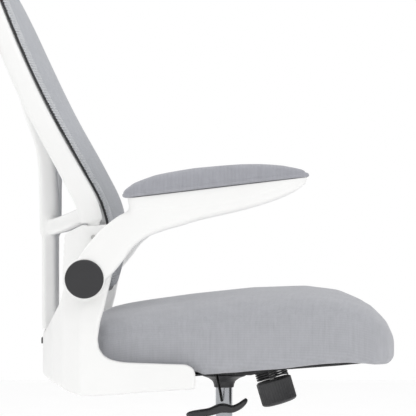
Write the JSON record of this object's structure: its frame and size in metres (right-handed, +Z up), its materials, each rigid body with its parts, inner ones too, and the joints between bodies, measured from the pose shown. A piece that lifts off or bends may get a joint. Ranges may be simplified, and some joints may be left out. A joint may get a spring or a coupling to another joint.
{
  "type": "desk chair",
  "caption": "Swivel desk chair with a bulged mesh back on a white frame, padded seat, flip-up padded arms, gas lift, tilt mechanism and a star base on casters.",
  "frame": {"origin": "on the floor, under the middle of the chair's overall box", "axes": "+X to the chair's front, +Y to the sitter's left, +Z up"},
  "size_m": [0.7192, 0.64, 1.0422],
  "materials": {
    "white_plastic": "white moulded nylon, fine grain",
    "black_plastic": "black moulded nylon, satin",
    "chrome": "polished",
    "zinc_steel": "zinc plated",
    "grey_fabric": "grey woven upholstery over foam",
    "grey_mesh": "grey open-weave elastic mesh",
    "plywood": "bare plywood"
  },
  "bodies": {
    "base": {"base_spider": "white_plastic", "lift_column": "black_plastic", "guide_bush": "black_plastic", "thrust_bearing": "zinc_steel"},
    "swivel": {"lift_rod": "zinc_steel", "column_clip": "zinc_steel"},
    "mechanism": {"lift_tube": "chrome", "taper_cup": "black_plastic", "mechanism_housing": "black_plastic", "tilt_pin": "zinc_steel", "tension_spring": "black_plastic"},
    "valve": {"valve_button": "zinc_steel"},
    "lever": {"lever_rod": "black_plastic", "lever_paddle": "black_plastic"},
    "seat_frame": {"tilt_plate": "black_plastic", "seat_pan": "black_plastic", "seat_board": "plywood", "seat_cushion": "grey_fabric", "lower_frame": "white_plastic", "back_frame": "white_plastic", "mesh_carrier": "black_plastic", "back_mesh": "grey_mesh", "tension_bolt": "zinc_steel", "spring_washer": "zinc_steel", "plate_bolt_1": "zinc_steel", "plate_bolt_2": "zinc_steel", "plate_bolt_3": "zinc_steel", "plate_bolt_4": "zinc_steel", "foot_bolt_1": "zinc_steel", "foot_bolt_2": "zinc_steel", "foot_bolt_3": "zinc_steel", "foot_bolt_4": "zinc_steel", "spine_screw_1": "zinc_steel", "spine_screw_2": "zinc_steel", "socket_screw_left": "zinc_steel", "socket_screw_right": "zinc_steel", "arm_bolt_left": "zinc_steel", "arm_bolt_right": "zinc_steel"},
    "knob": {"tension_knob": "black_plastic"},
    "arm_left": {"arm_body_left": "white_plastic", "arm_cap_left": "black_plastic", "arm_pad_left": "grey_fabric", "arm_board_left": "black_plastic"},
    "arm_right": {"arm_body_right": "white_plastic", "arm_cap_right": "black_plastic", "arm_pad_right": "grey_fabric", "arm_board_right": "black_plastic"},
    "caster_1": {"caster_fork_1": "black_plastic"},
    "wheels_1": {"caster_wheels_1": "black_plastic"},
    "caster_2": {"caster_fork_2": "black_plastic"},
    "wheels_2": {"caster_wheels_2": "black_plastic"},
    "caster_3": {"caster_fork_3": "black_plastic"},
    "wheels_3": {"caster_wheels_3": "black_plastic"},
    "caster_4": {"caster_fork_4": "black_plastic"},
    "wheels_4": {"caster_wheels_4": "black_plastic"},
    "caster_5": {"caster_fork_5": "black_plastic"},
    "wheels_5": {"caster_wheels_5": "black_plastic"}
  },
  "joints": [
    {"name": "seat_swivel", "type": "hinge", "parent": "base", "child": "swivel", "pos_m": [0.05, 0, 0.1], "axis": [0, 0, 1], "continuous": true},
    {"name": "seat_height", "type": "slide", "parent": "swivel", "child": "mechanism", "axis": [0, 0, 1], "range_m": [-0.045, 0.055]},
    {"name": "seat_tilt", "type": "hinge", "parent": "mechanism", "child": "seat_frame", "pos_m": [0.082, 0, 0.388], "axis": [0, -1, 0], "range_deg": [0, 15], "stiffness_Nm_per_rad": 120, "springref_deg": -20.05, "deforming": ["tension_spring"]},
    {"name": "tension_turn", "type": "hinge", "parent": "seat_frame", "child": "knob", "pos_m": [0.1309, 0, 0.3583], "axis": [-0.284, 0, 0.9588], "range_deg": [-360, 360]},
    {"name": "lever_lift", "type": "hinge", "parent": "mechanism", "child": "lever", "pos_m": [0.0405, -0.04, 0.3835], "axis": [-1, 0, 0], "range_deg": [0, 6], "stiffness_Nm_per_rad": 4, "springref_deg": -6.88},
    {"name": "valve_press", "type": "slide", "parent": "mechanism", "child": "valve", "axis": [0, 0, -1], "range_m": [0, 0.0043]},
    {"name": "arm_flip_left", "type": "hinge", "parent": "seat_frame", "child": "arm_left", "pos_m": [-0.168, 0.2705, 0.53], "axis": [0, -1, 0], "range_deg": [0, 73]},
    {"name": "arm_flip_right", "type": "hinge", "parent": "seat_frame", "child": "arm_right", "pos_m": [-0.168, -0.2705, 0.53], "axis": [0, -1, 0], "range_deg": [0, 73]},
    {"name": "caster_swivel_1", "type": "hinge", "parent": "base", "child": "caster_1", "pos_m": [0.34, 0, 0.07], "axis": [0, 0, 1], "continuous": true},
    {"name": "wheel_roll_1", "type": "hinge", "parent": "caster_1", "child": "wheels_1", "pos_m": [0.318, 0, 0.02716], "axis": [0, 1, 0], "continuous": true},
    {"name": "caster_swivel_2", "type": "hinge", "parent": "base", "child": "caster_2", "pos_m": [0.13961, 0.27581, 0.07], "axis": [0, 0, 1], "continuous": true},
    {"name": "wheel_roll_2", "type": "hinge", "parent": "caster_2", "child": "wheels_2", "pos_m": [0.11761, 0.27581, 0.02716], "axis": [0, 1, 0], "continuous": true},
    {"name": "caster_swivel_3", "type": "hinge", "parent": "base", "child": "caster_3", "pos_m": [-0.18462, 0.17046, 0.07], "axis": [0, 0, 1], "continuous": true},
    {"name": "wheel_roll_3", "type": "hinge", "parent": "caster_3", "child": "wheels_3", "pos_m": [-0.20661, 0.17046, 0.02716], "axis": [0, 1, 0], "continuous": true},
    {"name": "caster_swivel_4", "type": "hinge", "parent": "base", "child": "caster_4", "pos_m": [-0.18462, -0.17046, 0.07], "axis": [0, 0, 1], "continuous": true},
    {"name": "wheel_roll_4", "type": "hinge", "parent": "caster_4", "child": "wheels_4", "pos_m": [-0.20661, -0.17046, 0.02716], "axis": [0, 1, 0], "continuous": true},
    {"name": "caster_swivel_5", "type": "hinge", "parent": "base", "child": "caster_5", "pos_m": [0.13961, -0.27581, 0.07], "axis": [0, 0, 1], "continuous": true},
    {"name": "wheel_roll_5", "type": "hinge", "parent": "caster_5", "child": "wheels_5", "pos_m": [0.11761, -0.27581, 0.02716], "axis": [0, 1, 0], "continuous": true}
  ],
  "couplings": [
    {"joint": "valve_press", "follows": "lever_lift", "m_per_rad": 0.041}
  ]
}
